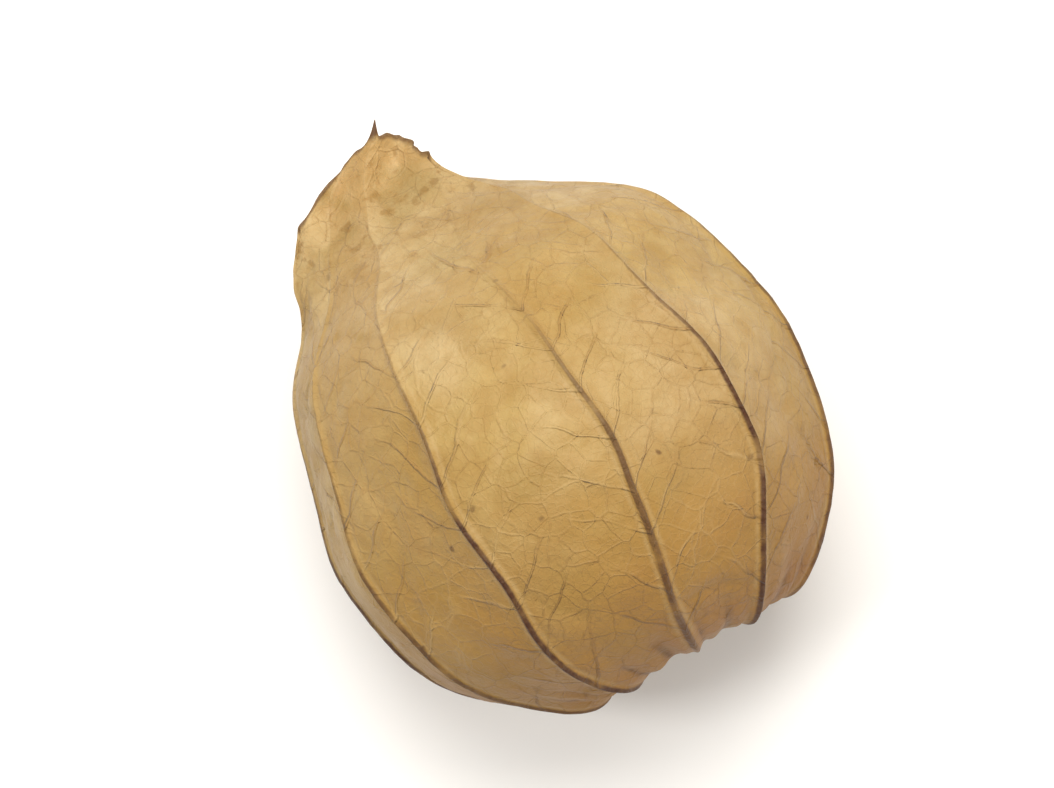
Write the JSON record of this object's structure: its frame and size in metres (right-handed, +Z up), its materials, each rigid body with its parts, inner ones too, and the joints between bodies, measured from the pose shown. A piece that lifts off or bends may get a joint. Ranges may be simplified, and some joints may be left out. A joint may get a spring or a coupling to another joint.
{
  "type": "physalis berry",
  "caption": "Ripe round berry inside its dry papery husk, a ribbed lantern with a pinched tip and a short stalk, lying on its side.",
  "frame": {"origin": "on the surface that the berry lies on, at the flat spot of the husk right below the berry's centre", "axes": "+Z up; +Y along the husk from the stalk towards its tip; +X to the right seen from the stalk's end"},
  "size_m": [0.0316, 0.038, 0.0312],
  "materials": {
    "husk": "dry papery leaf, straw to pinkish tan with brown ribs and a fine raised net of veins, slightly see-through",
    "berry": "smooth waxy fruit skin, ripe orange",
    "stalk": "dried plant stalk, brown-green, finely grooved"
  },
  "bodies": {
    "root": {"husk": "husk", "berry": "berry", "stalk": "stalk"}
  },
  "joints": []
}
